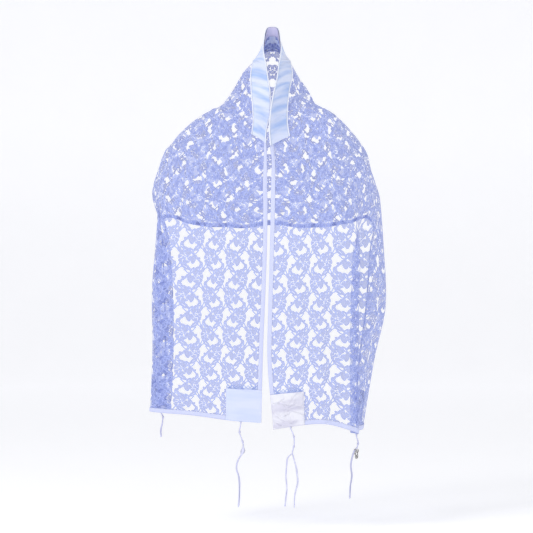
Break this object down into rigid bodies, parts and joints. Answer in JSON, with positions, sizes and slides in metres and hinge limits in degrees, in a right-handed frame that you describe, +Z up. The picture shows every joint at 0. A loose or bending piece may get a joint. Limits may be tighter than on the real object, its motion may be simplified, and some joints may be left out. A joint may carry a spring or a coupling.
{
  "type": "lace tallit prayer shawl",
  "caption": "Long lace prayer shawl draped open as worn, with a piped satin neckband, narrow hems, satin corner squares and knotted corner tassels.",
  "frame": {"origin": "centre of the neck edge at the nape, where the wearer's neck holds the shawl up", "axes": "+Z up, -Y towards the viewer of the open front, +X to the viewer's right"},
  "size_m": [0.5944, 0.2862, 1.1976],
  "materials": {
    "lace": "semi-sheer rose lace",
    "satin": "soft satin sheen",
    "trim": "matt woven tape",
    "cord": "matt spun thread"
  },
  "bodies": {
    "root": {"front_left_panel": "lace", "back_panel": "lace", "front_right_panel": "lace", "neckband": "satin", "piping_upper": "trim", "piping_lower": "trim", "neck_facing": "satin", "bottom_hem_left": "trim", "bottom_hem_right": "trim", "front_edge_hem_left": "trim", "front_edge_hem_right": "trim", "outer_hem": "trim", "corner_front_left": "satin", "corner_front_right": "satin", "corner_outer_left": "satin", "corner_outer_right": "satin", "tzitzit_front_left": "cord", "tzitzit_front_right": "cord", "tzitzit_outer_left": "cord", "tzitzit_outer_right": "cord"}
  },
  "joints": []
}
